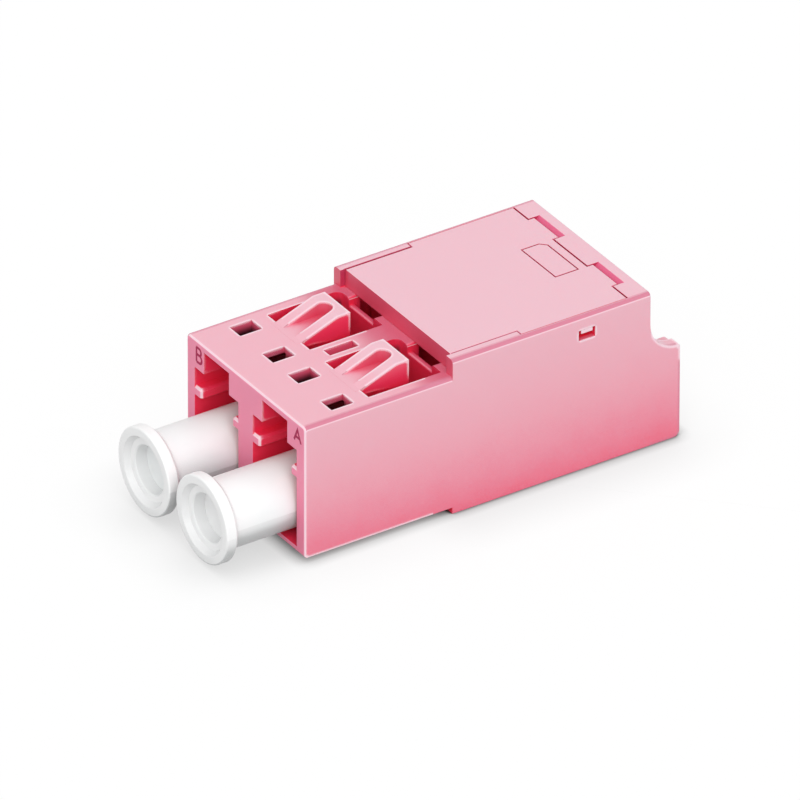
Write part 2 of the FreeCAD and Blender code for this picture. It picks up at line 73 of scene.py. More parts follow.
# Places in the frame, in millimetres. A span gives two ends, a rise where a mask starts and where it is full.
PORT_AXIS = 3.125
WALL_INSIDE = 5.9
NOSE_TOP_RISE = (9.25, 9.29)
FRONT_FACE_RISE = (-10.2, -10.1)
PORT_MOUTH_RISE = (-10.05, -9.95)
TONGUE_SPAN = (-5.3, -1.8)
TONGUE_FOOT_RISE = (8.9, 9.1)
RECESS_HALF_WIDTH = 0.61
RECESS_DARK_RISE = (-4.9, -4.1)
SHOULDER_SPAN = (-1.0, 0.2)
SHOULDER_TOP_RISE = (9.4, 9.6)
STEP_SPAN = (-0.05, 0.5)
STEP_FOOT_RISE = (9.2, 9.3)
BODY_TOP_RISE = (9.6, 10.0)
WINDOW_SPAN = (-7.95, -6.25)
WEB_OPENING_SPAN = (-5.2, -0.5)
WEB_HALF_WIDTH = 0.4
PANE_HEIGHT = (8.4, 9.27)
LID_GAP_SPAN = (-0.05, 0.4)
LID_GAP_FOOT_RISE = (9.3, 9.4)
LID_GAP_END_RISE = (6.1, 6.2)
LID_SEAM_SPAN = (0.45, 13.3)
LID_SEAM_FOOT_RISE = (10.0, 10.1)
LID_SEAM_TOP_RISE = (10.45, 10.475)
LID_SIDE_RISE = (5.86, 5.9)
LID_SIDE_SPAN = (5.1, 12.3)
LID_LEFT_SEAM = (-5.685, -5.655)
LID_LEFT_SPAN = (0.3, 4.9)
LID_LEFT_RISE = (10.4, 10.45)
TAB_SLOPE_RISE = (12.7, 12.8)
TAB_SLOPE_TOP_RISE = (10.18, 10.24)
ROUND_RISE = (6.06, 6.08)
RIM_RISE = (5.94, 6.08)
CATCH_SPAN = (8.5, 10.3)
CATCH_HEIGHT = (8.5, 9.9)
CATCH_RISE = (6.2, 6.3)
CHAMBER_SPAN = (-1.3, 13.8)
TAIL_RISE = (13.75, 13.85)
TAIL_TOP_RISE = (13.85, 13.95)
TAIL_LOW_RISE = (5.0, 5.5)
WELL_FOOT_RISE = (4.6, 5.6)
WELL_FLOOR_RISE = (7.2, 7.5)
WINDOW_WELL_SPAN = (-7.9, -6.3)
WINDOW_WELL_TOP_RISE = (8.5, 9.2)
UNDER_SPAN = (-6.4, -3.4)
SLOT_SPAN = (-5.3, -1.9)
SLOT_TOP_RISE = (8.2, 8.7)
BEHIND_SPAN = (-1.8, -0.3)
BEHIND_HEIGHT = (7.4, 8.4)
CAP_MIDDLE_RISE = (-2.5, 0.5)
CAP_NECK_RISE = (-15.0, -13.5)
CAP_TUBE_RISE = (-15.0, -11.0)
HOLLOW_SOFT = 0.03
CLEAR_ALONG_RISE = (1.0, -3.0)
CLEAR_ACROSS_RISE = (4.5, 7.5)
FOOT_RISE = (-12.0, -10.4)
FLOOR_GAP = 0.005

# What moves a spot of the pink along its ramp of painted shade, from the darkest colour at 0 to that of an
# open face at 1: painted light on open tops and on the tail's top, painted shade on lower tops and on the
# tongues' cheeks, and a random tone.
TOP_LIFT = 0.17
TAIL_LIFT = 0.2
FINE_LIFT = 0.05
RAMP_DROP = 0.015

# Sockets of a Mix node that mixes colours.
COLOUR_NONE, COLOUR_FULL, COLOUR_RESULT = 6, 7, 2

FINE_DETAIL = 2.0
SURFACE_SAMPLES = 12
FLOOR_SAMPLES = 16
BEVEL_SAMPLES = 8
BUMP_STRENGTH = 0.6
SENSOR_WIDTH = 36.0
CLIP_START, CLIP_END = 0.05, 20.0


class Wire:
    """An output of a shader node. Arithmetic on wires and numbers adds Math nodes."""

    def __init__(self, tree, socket):
        self.tree = tree
        self.socket = socket

    @classmethod
    def node(cls, tree, kind, settings=None, inputs=None, output=0):
        """Adds a node, first its settings and then its inputs, and gives one of its outputs, if it has any."""
        made = tree.nodes.new(kind)
        for name, value in (settings or {}).items():
            if name == "stops":
                set_stops(made.color_ramp, value)
            else:
                setattr(made, name, value)
        feed(tree, made, inputs or {})
        return cls(tree, made.outputs[output]) if made.outputs else None

    def math(self, operation, first, second):
        return Wire.node(self.tree, "ShaderNodeMath", {"operation": operation}, {0: first, 1: second})

    def __add__(self, other):
        return self.math("ADD", self, other)

    __radd__ = __add__

    def __mul__(self, other):
        return self.math("MULTIPLY", self, other)

    __rmul__ = __mul__

    def __abs__(self):
        return self.math("ABSOLUTE", self, 0.0)

    def __sub__(self, other):
        return self.math("SUBTRACT", self, other)

    def __rsub__(self, other):
        return self.math("SUBTRACT", other, self)

    def between(self, low, high):
        """0 up to low and 1 from high on, with a soft start and end."""
        settings = {"interpolation_type": "SMOOTHSTEP"}
        inputs = {"Value": self, "From Min": low, "From Max": high}
        return Wire.node(self.tree, "ShaderNodeMapRange", settings, inputs)

    def blend(self, none, full):
        """The colour none at 0 and full at 1."""
        inputs = {"Factor": self, COLOUR_NONE: as_colour(none), COLOUR_FULL: as_colour(full)}
        return Wire.node(self.tree, "ShaderNodeMix", {"data_type": "RGBA"}, inputs, COLOUR_RESULT)


def feed(tree, node, inputs):
    """Fills or links a node's inputs."""
    for name, value in inputs.items():
        if isinstance(value, Wire):
            tree.links.new(value.socket, node.inputs[name])
        else:
            node.inputs[name].default_value = value


def as_colour(value):
    """A wire as it is, or a colour with its alpha."""
    return value if isinstance(value, Wire) else (*value, 1.0)


def set_stops(ramp, stops):
    """Fills a colour ramp with (place, colour) pairs."""
    while len(ramp.elements) < len(stops):
        ramp.elements.new(1.0)
    for element, (place, tone) in zip(ramp.elements, stops):
        element.position = place
        element.color = as_colour(tone)


def colour(name, description, default):
    return FloatVectorProperty(
        name=name, description=description, default=default, subtype="COLOR", size=3, min=0.0, max=1.0
    )


def length(name, description, millimetres):
    return FloatProperty(
        name=name, description=description, default=millimetres * MM, unit="LENGTH", precision=5, min=0.0
    )


def offset(name, description, millimetres):
    return FloatProperty(
        name=name, description=description, default=millimetres * MM, unit="LENGTH", precision=6
    )


def angle(name, description, degrees):
    return FloatProperty(
        name=name, description=description, default=math.radians(degrees), subtype="ANGLE"
    )


def share(name, description, default):
    return FloatProperty(
        name=name, description=description, default=default, subtype="FACTOR", min=0.0, max=1.0
    )


class PinkPlastic(bpy.types.PropertyGroup):
    """The satin pink moulding of the housing, its lid, its tongues and the sleeve holders."""

    face: colour("Face", "Colour of an open face", (0.855, 0.51, 0.588))
    # Painted shade: partly open spots, such as most upright faces, take this darker colour.
    side: colour("Side", "Colour of an upright face", (0.865, 0.395, 0.48))
    shaded: colour("Shaded", "Colour of an upright face low down", (0.86, 0.27, 0.365))
    # Painted shade: the front face takes this darker colour by the way it faces.
    front: colour("Front", "Colour of the front face around the ports", (0.91, 0.245, 0.395))
    # Painted shade in shallow recesses.
    rose: colour("Rose", "Colour of a shallow recess", (0.80, 0.17, 0.28))
    # Painted shade on the upright face over the shoulder and towards the back of the tongues' recesses.
    step: colour("Step", "Colour of the upright face over the shoulder", (0.74, 0.085, 0.155))
    # Painted shade in corners and slots and on the tongues' cheeks.
    shade_red: colour("Rich", "Colour in corners and slots", (0.86, 0.035, 0.105))
    # Painted shade inside the ports, the darkest red of the ramp.
    deepest_shade: colour("Deep", "Colour inside the ports", (0.95, 0.03, 0.085))
    # Painted shade: near black where there is only shade, at the bottoms of the openings.
    void: colour("Void", "Colour at the bottom of the openings in the nose", (0.05, 0.008, 0.014))
    # Painted shade along the rounded top edges, on the tops beside them, and low on the tail's edges.
    shade_band: colour("Band", "Colour along the rounded top edges", (0.67, 0.215, 0.31))
    # Painted highlight: a paler colour on edges that catch the light.
    edge: colour("Edge", "Paler colour of worn edges", (0.96, 0.70, 0.77))
    seam: colour("Seam", "Colour in the seams round the lid", (0.50, 0.045, 0.115))
    # Painted shade on the nose top towards the shoulder.
    shoulder_shade: colour("Dusk", "Colour of the nose top towards the shoulder", (0.68, 0.12, 0.205))
    # Painted shade on the walls of the openings in the nose.
    pane_shade: colour("Pane", "Colour of the walls of the openings in the nose", (0.70, 0.115, 0.21))
    # Painted shade on the slopes behind the lid's tabs.
    slope: colour("Slope", "Colour of the slopes behind the lid's tabs", (0.80, 0.13, 0.27))
    # Reach of the painted shade: how far off other faces darken a spot.
    reach: length("Reach", "How far off the surroundings turn a face richer", 16.0)
    # Width of the painted highlight along an edge.
    edge_reach: length("Edge Reach", "How far the pale line of an edge reaches", 0.28)
    edge_round: length("Edge Round", "Radius that the light shows on an edge", 0.04)
    grain: length("Grain", "Size of the satin grain", 0.12)
    gloss: share("Roughness", "Roughness of the satin skin", 0.40)


class WhitePlastic(bpy.types.PropertyGroup):
    """The soft white plastic of the dust caps."""

    face: colour("Face", "Colour of the plastic", (0.965, 0.97, 0.97))
    # Painted: a cooler white that cancels the pink light thrown onto the caps by the ports.
    cool: colour("Cool", "Cooler white by the ports, against the pink light there", (0.92, 0.97, 0.968))
    # Painted shade on the walls of the dish and the eye.
    wall: colour("Wall", "Greyer colour of the walls of the dish and the eye", (0.82, 0.825, 0.825))
    # Painted shade on what looks down.
    under: colour("Under", "Greyer colour of what looks down", (0.585, 0.605, 0.605))
    # Reach of the painted shade.
    reach: length("Reach", "How far off the surroundings turn a face greyer", 4.0)
    dish: length("Dish", "Radius of the dish in a flange", 2.25)
    dish_end: length("Dish End", "From the flange's face to behind the floor of its dish", 0.5)
    eye: length("Eye", "Radius of the eye in the dish", 1.62)
    eye_end: length("Eye End", "From the flange's face to behind the floor of its eye", 1.4)
    edge_round: length("Edge Round", "Radius that the light shows on an edge", 0.05)
    grain: length("Grain", "Size of the fine skin", 0.2)
    gloss: share("Roughness", "Roughness of the skin", 0.36)


class Ceramic(bpy.types.PropertyGroup):
    """The polished ceramic of the split sleeves."""

    face: colour("Face", "Colour of the polished ceramic", (0.90, 0.88, 0.83))
    speck: colour("Speck", "Colour of its faint clouding", (0.84, 0.81, 0.74))
    cloud: length("Cloud", "Size of the faint clouding", 0.5)
    gloss: share("Roughness", "Roughness of the polish", 0.16)


class TongueRoots(bpy.types.PropertyGroup):
    """The thin skin that runs from the nose top into a tongue, over the line where the tongue bends."""

    nose_top: length("Nose Top", "Height of the nose top above the underside", 9.3)
    ramp_run: length("Ramp Run", "Length of a tongue's ramp, from its root to its flat", 2.52)
    recess: length("Recess", "Width of the recess in a tongue", 1.2)
    reach: length("Reach", "How far the skin runs to each side of the line", 0.35)
    lift: length("Lift", "Height of the skin over the faces that it joins", 0.004)
    sunk: length("Sunk", "Depth of the skin's underside in the faces that it joins", 0.02)
    rows: IntProperty(name="Rows", description="Strips along the bend", default=14, min=2)


class PortLetters(bpy.types.PropertyGroup):
    """The letters that tell the two ports apart."""

    height_a: length("Height A", "Height of the first letter between the middles of its strokes", 0.80)
    height_b: length("Height B", "Height of the second letter between the middles of its strokes", 0.97)
    width_a: length("Width A", "Width of the first letter", 0.72)
    width_b: length("Width B", "Width of the second letter", 0.56)
    stroke: length("Stroke", "Width of a stroke", 0.16)
    foot_a: length("Foot A", "Height of the first letter's foot above the underside", 8.02)
    foot_b: length("Foot B", "Height of the second letter's foot above the underside", 7.90)
    inset_a: length("Inset A", "From the side wall to the middle of the first letter", 0.78)
    inset_b: length("Inset B", "From the side wall to the middle of the second letter", 1.363)
    sunk: length("Sunk", "Depth of a stroke in the face", 0.03)
    proud: length("Proud", "Height of a stroke over the face", 0.004)
    face: colour("Face", "Colour of a stroke", (0.46, 0.03, 0.10))
    speck: colour("Speck", "Darker colour of its grain", (0.40, 0.024, 0.085))


class Studio(bpy.types.PropertyGroup):
    """The white floor, the soft light and the camera."""

    floor: length("Floor", "Length of the floor's sides", 6000.0)
    white: colour("White", "Colour of the floor", (0.08, 0.08, 0.08))
    bounce: colour("Bounce", "Colour of the floor as the object's underside sees it", (0.55, 0.55, 0.55))
    lift: share("Lift", "Light of its own that brings the seen floor to white", 0.92)
    # Painted shadow: a thin dark line along the foot.
    line: share("Line", "Depth of the thin line along the foot", 0.25)
    line_reach: length("Line Reach", "How far the thin line along the foot reaches", 0.35)
    # Painted shadow: the dark seam at the foot.
    contact_shadow: share("Contact", "Depth of the dark seam at the foot", 0.75)
    # What the painted shadow at the foot loses beside the nose.
    contact_clear: share("Contact Clear", "What the seam loses beside the nose", 0.25)
    contact_reach: length("Contact Reach", "How far the dark seam at the foot reaches", 0.9)
    # Painted shadow: the soft shadow round the object.
    shadow: share("Shadow", "Depth of the soft shadow", 0.36)
    shadow_clear: share("Shadow Clear", "What the soft shadow loses beside the nose", 0.24)
    shadow_reach: length("Shadow Reach", "How far the soft shadow reaches", 5.0)
    sky: share("Sky", "Level of the light from all round", 0.72)
    key: FloatProperty(name="Key", description="Strength of the soft lamp", default=1.45, min=0.0)
    key_from: FloatVectorProperty(
        name="Key From", description="Direction of the soft lamp", subtype="DIRECTION",
        default=(0.68, -0.34, 0.65)
    )
    key_angle: angle("Key Angle", "Size of the soft lamp", 50)
    azimuth: angle("Azimuth", "The camera's turn round the object", 56.8394)
    elevation: angle("Elevation", "The camera's height angle", 31.8276)
    roll: angle("Roll", "The camera's tilt", 0.0821)
    distance: length("Distance", "From the camera to the plane of the origin", 1427.457)
    across: offset("Across", "The camera's place to the right", 0.4115)
    upward: offset("Upward", "The camera's place upwards", 3.8268)
    lens: FloatProperty(
        name="Lens", description="Focal length in millimetres on a 36 mm sensor", default=1097.607, min=1.0
    )


def new_finish(name):
    """An empty material, its node tree and its shader."""
    material = bpy.data.materials.new(name)
    material.use_nodes = True
    tree = material.node_tree
    tree.nodes.clear()
    shader = Wire.node(tree, "ShaderNodeBsdfPrincipled")
    Wire.node(tree, "ShaderNodeOutputMaterial", inputs={"Surface": shader})
    return material, tree, shader.socket.node


def noise(tree, size, detail=3.0):
    """Noise from 0 to 1 with spots of about this size, on the piece's own coordinates."""
    place = Wire.node(tree, "ShaderNodeTexCoord", output="Object")
    return Wire.node(tree, "ShaderNodeTexNoise", inputs={"Vector": place, "Scale": 1 / size, "Detail": detail})


def openness(tree, reach, samples=SURFACE_SAMPLES):
    """1 on an open face, less where other faces stand close."""
    return Wire.node(
        tree, "ShaderNodeAmbientOcclusion", {"samples": samples}, {"Distance": reach}, "AO"
    )


def parts_of(tree, coordinate):
    """The parts along X, Y and Z of the piece's own Normal or Object coordinate."""
    vector = Wire.node(tree, "ShaderNodeTexCoord", output=coordinate)
    return [Wire.node(tree, "ShaderNodeSeparateXYZ", None, {0: vector}, axis) for axis in "XYZ"]


def past(place, start, full):
    """0 up to start and 1 from full on, in millimetres."""
    return place.between(start * MM, full * MM)


def short_of(place, end, soft=0.1):
    """1 up to end, in millimetres, and 0 past it."""
    return 1 - past(place, end, end + soft)


def within(place, low, high, soft=0.1):
    """1 from low to high, in millimetres, and 0 outside."""
    return past(place, low - soft, low) * short_of(place, high, soft)


def uneven(middle, *swings):
    """A value around middle, from pairs of a noise and the width of its swing."""
    value = middle - sum(width for wave, width in swings) / 2
    for wave, width in swings:
        value = wave * width + value
    return value


def edge_line(tree, width):
    """1 along the outer edges of the piece itself, 0 on its faces."""
    settings = {"samples": SURFACE_SAMPLES, "inside": True, "only_local": True}
    return 1 - Wire.node(tree, "ShaderNodeAmbientOcclusion", settings, {"Distance": width}, "AO")


def skin(tree, radius, grain, depth):
    """The normal of a moulded skin: a fine grain and, with a radius, softened edges."""
    inputs = {"Height": grain, "Distance": depth, "Strength": BUMP_STRENGTH}
    if radius:
        settings = {"samples": BEVEL_SAMPLES}
        inputs["Normal"] = Wire.node(tree, "ShaderNodeBevel", settings, {"Radius": radius})
    return Wire.node(tree, "ShaderNodeBump", None, inputs)


class Spot:
    """What the pink moulding knows of a spot: its place, the way it faces and how open it lies."""

    def __init__(self, tree, reach):
        self.free = openness(tree, reach)
        self.across, self.along, self.up = parts_of(tree, "Normal")
        self.x, self.y, self.z = parts_of(tree, "Object")
        self.side, self.aside = abs(self.across), abs(self.x)
        self.ahead = self.along.between(-0.6, -0.9)
        self.level = self.up.between(0.85, 0.97)
        self.upright = self.side.between(0.8, 0.95)
        self.front = self.ahead * (1 - past(self.y, *FRONT_FACE_RISE))
        self.above = past(self.z, *NOSE_TOP_RISE)
        self.indoors = short_of(self.aside, WALL_INSIDE)


def tongue_masks(spot):
    """The recess in a tongue's ramp, with painted light on its floor and painted shade towards its back, and
    the tongue's upright cheeks, which take painted shade.
    """
    tongue = within(spot.y, *TONGUE_SPAN)
    channel = short_of(abs(spot.aside - PORT_AXIS * MM), RECESS_HALF_WIDTH, soft=0.02)
    recess = channel * tongue * spot.above * (1 - spot.free.between(0.6, 0.8))
    cheek = spot.upright * tongue * past(spot.z, *TONGUE_FOOT_RISE) * spot.indoors * (1 - channel)
    return recess, cheek


def pane_mask(spot):
    """The upper walls of the windows and of the opening in the web between the tongues, which take painted
    shade.
    """
    web = short_of(spot.aside, WEB_HALF_WIDTH) * within(spot.y, *WEB_OPENING_SPAN)
    openings = (within(spot.y, *WINDOW_SPAN) + web).between(0.0, 1.0)
    return openings * within(spot.z, *PANE_HEIGHT, soft=0.02) * spot.indoors


def lid_masks(spot):
    """The seams round the lid, and the slopes behind its tabs, which take painted shade."""
    gap = spot.upright * within(spot.y, *LID_GAP_SPAN) * past(spot.z, *LID_GAP_FOOT_RISE)
    gap = gap * (1 - past(spot.aside, *LID_GAP_END_RISE))
    sunk = past(spot.z, *LID_SEAM_FOOT_RISE) * (1 - past(spot.z, *LID_SEAM_TOP_RISE))
    sunk = sunk * (1 - past(spot.aside, *ROUND_RISE)) * within(spot.y, *LID_SEAM_SPAN)
    sunk = sunk * (1 - past(spot.aside, *LID_SIDE_RISE) * within(spot.y, *LID_SIDE_SPAN))
    slope = spot.along.between(-0.5, -0.65) * spot.up.between(0.5, 0.6) * past(spot.y, *TAB_SLOPE_RISE)
    left = within(spot.x, *LID_LEFT_SEAM, soft=0.015) * within(spot.y, *LID_LEFT_SPAN)
    left = left * past(spot.z, *LID_LEFT_RISE)
    seams = sunk * (1 - slope * past(spot.z, *TAB_SLOPE_TOP_RISE)) + left + gap
    return seams.between(0.0, 1.0), slope * sunk


def well_mask(spot):
    """Painted shade: the dark at the bottom of the windows and slots, and in the gap behind the tongues."""
    over = past(spot.z, *WELL_FLOOR_RISE)
    windows = within(spot.y, *WINDOW_WELL_SPAN, soft=0.2) * over
    windows = windows * (1 - past(spot.z, *WINDOW_WELL_TOP_RISE))
    under = within(spot.y, *UNDER_SPAN, soft=1.0) * (1 - over) * 0.9
    slots = within(spot.y, *SLOT_SPAN) * (1 - past(spot.z, *SLOT_TOP_RISE)) * over * 0.4
    behind = within(spot.y, *BEHIND_SPAN) * within(spot.z, *BEHIND_HEIGHT, soft=0.7) * 0.9
    return (windows + under + slots + behind) * spot.indoors * past(spot.z, *WELL_FOOT_RISE)


def edge_masks(tree, width, spot, shade_band, wells):
    """Painted highlights: the pale lines of the nose's and the catches' edges, on the rounds of the port
    mouths and on the long rounded edges; and painted shade: the darker line low on the tail's edges.
    """
    # Painted highlight along the long rounded edges.
    glint = spot.side.between(0.88, 0.96) * (1 - spot.side.between(0.985, 0.998))
    glint = glint * spot.up.between(0.1, 0.2)
    # Painted highlight on the rounds of the port mouths.
    mouths = spot.along.between(-0.25, -0.5) * (1 - spot.along.between(-0.88, -0.97))
    mouths = mouths * (1 - past(spot.y, *PORT_MOUTH_RISE))
    facing = (1 - spot.across.between(-0.1, -0.4)) * (1 - spot.up.between(-0.1, -0.4))
    catch = within(spot.y, *CATCH_SPAN) * within(spot.z, *CATCH_HEIGHT) * past(spot.aside, *CATCH_RISE)
    # Painted shade low on the tail's edges.
    rear = past(spot.y, *TAIL_RISE) * (1 - past(spot.z, *TAIL_LOW_RISE))
    ends = 1 - within(spot.y, *CHAMBER_SPAN) - rear
    edged = edge_line(tree, width).between(0.12, 0.36) * spot.free.between(0.30, 0.45) * (1 - shade_band)
    highlit = edged * (ends + catch) * (1 - wells) * (1 - spot.front)
    pale = (highlit * 0.9 + mouths * 0.8) * facing + glint * 0.6
    return pale.between(0.0, 1.0), edged * rear


def pink_ramp(tree, look, spot, recess, cheek, mottle):
    """Painted shade: the pink of a spot by how open it lies, darker and redder the more it is closed in,
    lifted by painted light where a face has more light and lowered by painted shade where it has less.
    """
    # Painted light on open tops and recess floors, painted shade on lower tops.
    lit = (spot.level * spot.above + recess).between(0.0, 1.0) * (1 - spot.free.between(0.4, 0.8))
    lower = spot.level * (1 - past(spot.z, *BODY_TOP_RISE)) * spot.free.between(0.5, 0.8)
    # Painted light on the tail's top.
    tail = past(spot.y, *TAIL_TOP_RISE) * spot.up.between(0.2, 0.5)
    lift = (lit - lower) * TOP_LIFT + tail * TAIL_LIFT + (mottle - cheek) * FINE_LIFT
    depth = spot.free + lift - RAMP_DROP
    stops = [
        (0.10, look.deepest_shade),
        (0.47, look.shade_red),
        (0.51, look.rose),
        (0.57, look.shaded),
        (0.70, look.side),
        (1.00, look.face),
    ]
    return Wire.node(tree, "ShaderNodeValToRGB", {"stops": stops}, {"Fac": depth})


def pink_finish(look, name, solid=True):
    """Satin pink with painted shade that turns it darker and redder where light has less way in, and paler
    edges, a painted highlight, on a solid piece.
    """
    material, tree, shader = new_finish(name)
    mottle = noise(tree, 14 * look.grain)
    grain = noise(tree, look.grain, FINE_DETAIL)
    spot = Spot(tree, look.reach)
    recess, cheek = tongue_masks(spot)
    # Painted shade on the nose top towards the shoulder.
    shoulder = within(spot.y, *SHOULDER_SPAN, soft=2.0) * (1 - past(spot.z, *SHOULDER_TOP_RISE))
    shoulder = spot.level * shoulder * spot.free.between(0.35, 0.5)
    # Painted shade on the lid's front face over the shoulder.
    step = spot.ahead * within(spot.y, *STEP_SPAN) * past(spot.z, *STEP_FOOT_RISE)
    seams, slopes = lid_masks(spot)
    # Painted shade along the rounded top edges, and on the tops just beside them.
    shade_band = spot.side.between(0.12, 0.35) * (1 - spot.side.between(0.86, 0.95))
    shade_band = shade_band * spot.up.between(0.1, 0.3) * past(spot.aside, *ROUND_RISE)
    rim_shade = spot.level * past(spot.aside, *RIM_RISE) * 0.6
    # Each layer's mask, how fully it covers, and its colour. Apart from the seams, each layer paints shade
    # into the colour, and the pale edges paint a highlight.
    layers = [
        (recess * past(spot.y, *RECESS_DARK_RISE), 0.8, look.step),
        (cheek, 0.8, look.shade_red),
        (shoulder, 0.9, look.shoulder_shade),
        (pane_mask(spot), 0.8, look.pane_shade),
        (spot.front, 0.9, look.front),
        (step, 0.9, look.step),
        (slopes, 1.0, look.slope),
        (seams, 0.85, look.seam),
        (shade_band + rim_shade, 1.0, look.shade_band),
    ]
    if solid:
        # Painted shade at the bottoms of the openings, and painted highlights along the edges.
        wells = well_mask(spot)
        pale, dark = edge_masks(tree, look.edge_reach, spot, shade_band, wells)
        layers += [(wells, 1.0, look.void), (dark, 0.7, look.shade_band), (pale, 1.0, look.edge)]
    tone = pink_ramp(tree, look, spot, recess, cheek, mottle)
    for mask, cover, paint in layers:
        tone = (mask * cover).blend(tone, paint)
    feed(tree, shader, {
        "Base Color": tone,
        "Roughness": uneven(look.gloss, (grain, 0.10), (mottle, 0.06)),
        "Normal": skin(tree, look.edge_round if solid else 0.0, grain, 0.004 * MM),
        "Subsurface Weight": 0.15 if solid else 0.0,
        "Subsurface Radius": (1.0, 0.3, 0.4),
        "Subsurface Scale": 0.2 * MM,
    })
    return material


def hollow(radius, y, width, end):
    """1 inside a round hollow in the face of a cap, up to width from its axis and to end along it."""
    soft = HOLLOW_SOFT * MM
    return (1 - radius.between(width, width + soft)) * (1 - y.between(end, end + soft))


def white_finish(look, name):
    """Soft white with painted shade, greyer on the walls of the dish and the eye, on what looks down and where
    other faces stand close, and a painted cooler tint by the pink ports against the pink light there.
    """
    material, tree, shader = new_finish(name)
    mottle = noise(tree, 9 * look.grain)
    grain = noise(tree, look.grain, FINE_DETAIL)
    along, up = parts_of(tree, "Normal")[1:]
    x, y, z = parts_of(tree, "Object")
    low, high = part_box("dust_cap_a")
    from_x, from_z = abs(x) - (low.x + high.x) / 2, z - (low.z + high.z) / 2
    radius = from_x.math("POWER", from_x * from_x + from_z * from_z, 0.5)
    dish = hollow(radius, y, look.dish, low.y + look.dish_end)
    eye = hollow(radius, y, look.eye, low.y + look.eye_end)
    dished = (dish + eye).between(0.0, 1.0)
    # Painted shade on the walls of the dish and the eye.
    walls = dished * (1 - along.between(-0.5, -0.9))
    # A painted cooler tint against the pink light near the ports, stronger towards the neck of the cap at
    # negative x.
    pinker = (1 - past(x, *CAP_MIDDLE_RISE)) * past(y, *CAP_NECK_RISE) * 0.5
    cooler = (past(y, *CAP_TUBE_RISE) + pinker + uneven(0.0, (mottle, 0.1))).between(0.0, 1.0)
    # Painted shade where other faces stand close, and on what looks down.
    shut_shade = (1 - openness(tree, look.reach).between(0.35, 0.8)) * 0.45
    greyer = (up.between(0.2, -0.6) + shut_shade).between(0.0, 1.0) * (1 - dished)
    tone = greyer.blend(cooler.blend(look.face, look.cool), look.under)
    feed(tree, shader, {
        "Base Color": walls.blend(tone, look.wall),
        "Roughness": uneven(look.gloss, (grain, 0.08), (mottle, 0.06)),
        "Normal": skin(tree, look.edge_round, grain, 0.003 * MM),
        "Subsurface Weight": 0.15,
        "Subsurface Radius": (1.0, 1.0, 1.0),
        "Subsurface Scale": 0.3 * MM,
    })
    return material


def ceramic_finish(look, name):
    """Polished ivory ceramic with a faint clouding."""
    material, tree, shader = new_finish(name)
    cloud = noise(tree, look.cloud)
    fine = noise(tree, 0.08 * look.cloud, FINE_DETAIL)
    feed(tree, shader, {
        "Base Color": cloud.between(0.35, 0.7).blend(look.face, look.speck),
        "Roughness": uneven(look.gloss, (fine, 0.06)),
        "Normal": skin(tree, 0.03 * MM, fine, 0.001 * MM),
        "IOR": 2.1,
    })
    return material


def letter_finish(letters, pink, name):
    """The darker rose that shadow gives to a shallow stroke, with the grain of the pink round it."""
    material, tree, shader = new_finish(name)
    grain = noise(tree, pink.grain, FINE_DETAIL)
    feed(tree, shader, {
        "Base Color": grain.between(0.3, 0.7).blend(letters.face, letters.speck),
        "Roughness": grain * 0.1 + pink.gloss,
        "Normal": skin(tree, 0.02 * MM, grain, 0.003 * MM),
        "Specular IOR Level": 0.1,
    })
    return material


def dress(nodes, material):
    """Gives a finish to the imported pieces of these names."""
    for name in nodes:
        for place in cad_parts[name].material_slots:
            place.material = material


def arc(centre, radii, start, end, steps=10):
    """Points on an ellipse from one angle to another, in degrees."""
    turns = [math.radians(start + (end - start) * i / steps) for i in range(steps + 1)]
    return [(centre[0] + radii[0] * math.cos(t), centre[1] + radii[1] * math.sin(t)) for t in turns]


def letter_strokes(letter):
    """The strokes of a letter in a box of 1 by 1, each a line of points."""
    if letter == "a":
        return [[(0.0, 0.0), (0.5, 1.0), (1.0, 0.0)], [(0.19, 0.36), (0.81, 0.36)]]
    waist = 0.53
    upper = [(0.0, 1.0), *arc((0.52, (1 + waist) / 2), (0.36, (1 - waist) / 2), 90, -90), (0.0, waist)]
    lower = [(0.0, waist), *arc((0.58, waist / 2), (0.42, waist / 2), 90, -90), (0.0, 0.0)]
    return [[(0.0, 0.0), (0.0, 1.0)], upper, lower]


def sides_of(line, half):
    """For each point of a line, the points to its left and right at half the stroke's width."""
    pairs = []
    for i, point in enumerate(line):
        before = (point - line[i - 1]).normalized() if i else None
        after = (line[i + 1] - point).normalized() if i + 1 < len(line) else None
        along = ((before or after) + (after or before)).normalized()
        across = Vector((-along.y, along.x))
        stretch = along.dot(before or after)
        pairs.append((point + across * half / stretch, point - across * half / stretch))
    return pairs


def bridge_rings(mesh, rings):
    """Joins rings of four corners into a closed bar."""
    for ring, following in zip(rings, rings[1:]):
        for i in range(4):
            j = (i + 1) % 4
            mesh.faces.new((ring[i], ring[j], following[j], following[i]))
    mesh.faces.new(rings[0])
    mesh.faces.new(rings[-1][::-1])


def add_ribbon(mesh, line, half, front, back):
    """A closed flat bar along a line in the front face, from y front to y back."""
    rings = []
    for left, right in sides_of(line, half):
        corners = [(left, front), (right, front), (right, back), (left, back)]
        rings.append([mesh.verts.new((p.x, y, p.y)) for p, y in corners])
    bridge_rings(mesh, rings)


def new_piece(name, mesh, material):
    """Puts a finished bmesh in the scene."""
    bmesh.ops.recalc_face_normals(mesh, faces=mesh.faces)
    data = bpy.data.meshes.new(name)
    mesh.to_mesh(data)
    mesh.free()
    data.materials.append(material)
    piece = bpy.data.objects.new(name, data)
    bpy.context.scene.collection.objects.link(piece)
    return piece


